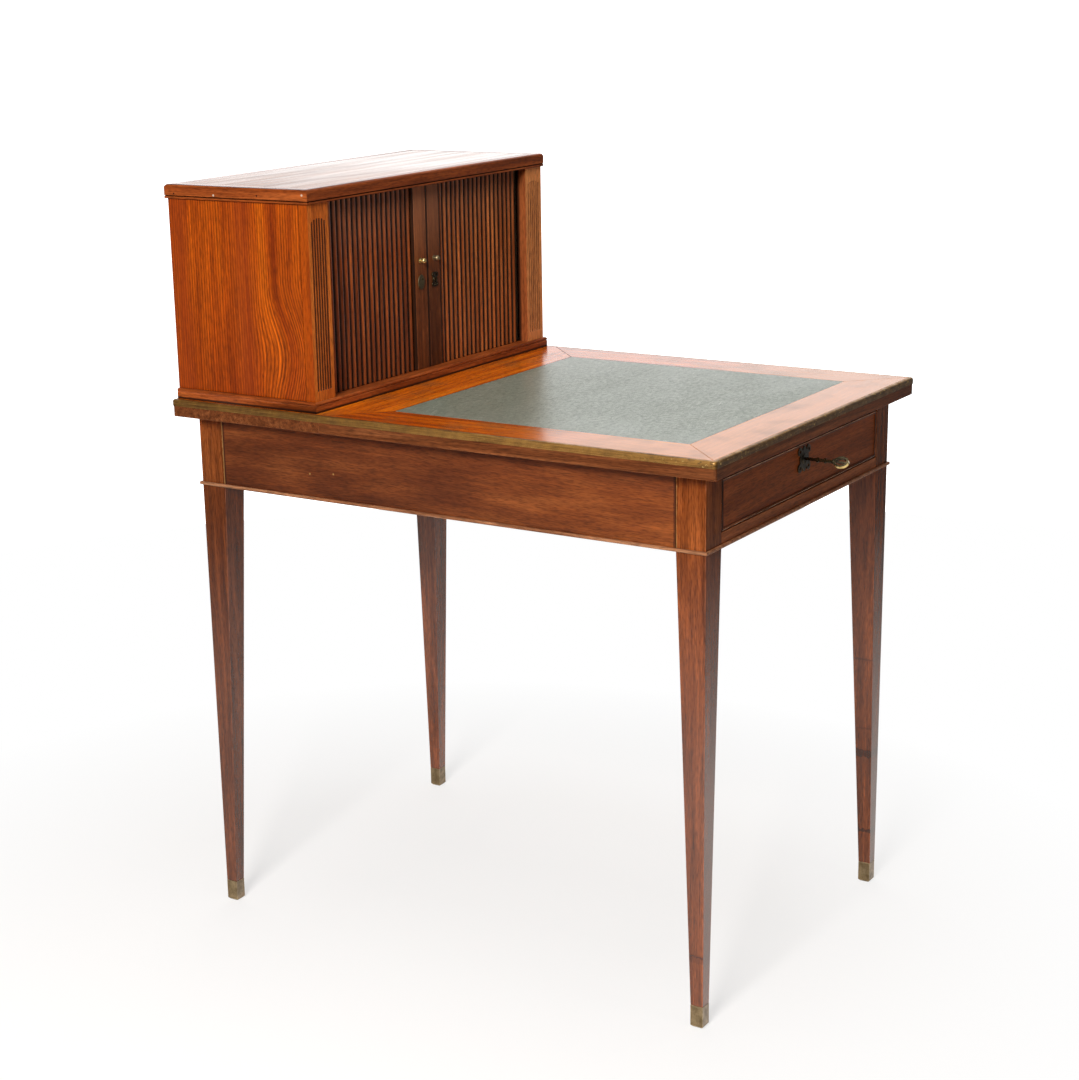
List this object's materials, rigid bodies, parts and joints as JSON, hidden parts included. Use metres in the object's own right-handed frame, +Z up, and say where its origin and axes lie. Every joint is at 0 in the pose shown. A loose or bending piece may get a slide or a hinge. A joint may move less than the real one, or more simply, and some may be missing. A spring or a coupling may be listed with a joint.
{
  "type": "writing table with tambour hutch",
  "caption": "Writing table on tapered legs with a locking drawer, leather writing surface and a hutch closed by two sliding tambour doors.",
  "frame": {"origin": "on the floor, midway across the width and midway along the whole depth from the key's bow to the back edge of the top", "axes": "+X to the sitter's right, +Y from the drawer front to the hutch back, +Z up"},
  "size_m": [0.606, 0.884, 1.0558],
  "materials": {
    "mahogany": "french polished, satin",
    "flame_mahogany": "french polished, satin",
    "dark_mahogany": "polished, satin",
    "oak": "planed, bare",
    "old_brass": "tarnished",
    "bright_brass": "polished",
    "dark_bronze": "dark patina",
    "key_brass": "worn, dark in the hollows",
    "leather": "worn, matt"
  },
  "bodies": {
    "table": {"leg_front_left": "mahogany", "leg_front_right": "mahogany", "leg_back_left": "mahogany", "leg_back_right": "mahogany", "sabot_front_left": "old_brass", "sabot_front_right": "old_brass", "sabot_back_left": "old_brass", "sabot_back_right": "old_brass", "apron_left": "mahogany", "apron_right": "mahogany", "apron_back": "mahogany", "front_rail_upper": "mahogany", "front_rail_lower": "mahogany", "apron_beads": "mahogany", "top_glue_blocks": "oak", "drawer_runners": "oak", "drawer_kickers": "oak", "drawer_stops": "oak", "top_core": "oak", "top_border_front": "mahogany", "top_border_left": "mahogany", "top_border_right": "mahogany", "top_back_board": "mahogany", "writing_leather": "leather", "brass_edging": "old_brass", "hutch_base_board": "mahogany", "hutch_base_mouldings": "mahogany", "hutch_lid_board": "flame_mahogany", "hutch_lid_edging": "mahogany", "hutch_side_left": "flame_mahogany", "hutch_side_right": "flame_mahogany", "hutch_back": "oak", "hutch_pilaster_left": "mahogany", "hutch_pilaster_right": "mahogany", "hutch_liner_left": "oak", "hutch_liner_right": "oak", "hutch_shelf": "oak"},
    "drawer": {"drawer_front": "mahogany", "drawer_side_left": "oak", "drawer_side_right": "oak", "drawer_back": "oak", "drawer_bottom": "oak", "drawer_cock_beads": "mahogany", "drawer_lock_case": "old_brass", "drawer_escutcheon": "dark_bronze"},
    "key": {"drawer_key": "key_brass"},
    "lock_bolt": {"drawer_lock_bolt": "old_brass"},
    "tambour_left": {"tambour_lead_left": "dark_mahogany", "tambour_knob_left": "bright_brass", "tambour_oval_plate_left": "dark_bronze"},
    "tambour_left_inner": {"tambour_inner_leaf_left": "dark_mahogany"},
    "tambour_left_tail": {"tambour_tail_left": "dark_mahogany"},
    "tambour_left_outer": {"tambour_outer_leaf_left": "dark_mahogany"},
    "tambour_right": {"tambour_lead_right": "dark_mahogany", "tambour_knob_right": "old_brass", "tambour_escutcheon_right": "dark_bronze"},
    "tambour_right_inner": {"tambour_inner_leaf_right": "dark_mahogany"},
    "tambour_right_tail": {"tambour_tail_right": "dark_mahogany"},
    "tambour_right_outer": {"tambour_outer_leaf_right": "dark_mahogany"}
  },
  "joints": [
    {"name": "drawer_slide", "type": "slide", "parent": "table", "child": "drawer", "axis": [0, -1, 0], "range_m": [0, 0.4]},
    {"name": "key_turn", "type": "hinge", "parent": "drawer", "child": "key", "pos_m": [0, -0.38, 0.7008], "axis": [0, 1, 0], "range_deg": [0, 180]},
    {"name": "bolt_lift", "type": "slide", "parent": "drawer", "child": "lock_bolt", "axis": [0, 0, 1], "range_m": [0, 0.007]},
    {"name": "tambour_left_slide", "type": "slide", "parent": "table", "child": "tambour_left", "axis": [-1, 0, 0], "range_m": [0, 0.21]},
    {"name": "tambour_left_inner_fold", "type": "hinge", "parent": "tambour_left", "child": "tambour_left_inner", "pos_m": [-0.0343, 0.2197, 0.9], "axis": [0, 0, -1], "range_deg": [0, 90]},
    {"name": "tambour_left_tail_slide", "type": "slide", "parent": "table", "child": "tambour_left_tail", "axis": [-0.0549, 0.9985, 0], "range_m": [0, 0.18228]},
    {"name": "tambour_left_outer_fold", "type": "hinge", "parent": "tambour_left_tail", "child": "tambour_left_outer", "pos_m": [-0.2546, 0.2167, 0.9], "axis": [0, 0, -1], "range_deg": [0, 90]},
    {"name": "tambour_right_slide", "type": "slide", "parent": "table", "child": "tambour_right", "axis": [1, 0, 0], "range_m": [0, 0.21]},
    {"name": "tambour_right_inner_fold", "type": "hinge", "parent": "tambour_right", "child": "tambour_right_inner", "pos_m": [0.0343, 0.2197, 0.9], "axis": [0, 0, 1], "range_deg": [0, 90]},
    {"name": "tambour_right_tail_slide", "type": "slide", "parent": "table", "child": "tambour_right_tail", "axis": [0.0549, 0.9985, 0], "range_m": [0, 0.18228]},
    {"name": "tambour_right_outer_fold", "type": "hinge", "parent": "tambour_right_tail", "child": "tambour_right_outer", "pos_m": [0.2546, 0.2167, 0.9], "axis": [0, 0, 1], "range_deg": [0, 90]}
  ],
  "couplings": [
    {"joint": "bolt_lift", "follows": "key_turn", "m_per_rad": 0.0022282},
    {"joint": "tambour_left_inner_fold", "follows": "tambour_left_slide", "rad_per_m": 7.4799},
    {"joint": "tambour_left_tail_slide", "follows": "tambour_left_slide", "ratio": 0.86797},
    {"joint": "tambour_left_outer_fold", "follows": "tambour_left_slide", "rad_per_m": 7.4799},
    {"joint": "tambour_right_inner_fold", "follows": "tambour_right_slide", "rad_per_m": 7.4799},
    {"joint": "tambour_right_tail_slide", "follows": "tambour_right_slide", "ratio": 0.86797},
    {"joint": "tambour_right_outer_fold", "follows": "tambour_right_slide", "rad_per_m": 7.4799}
  ]
}
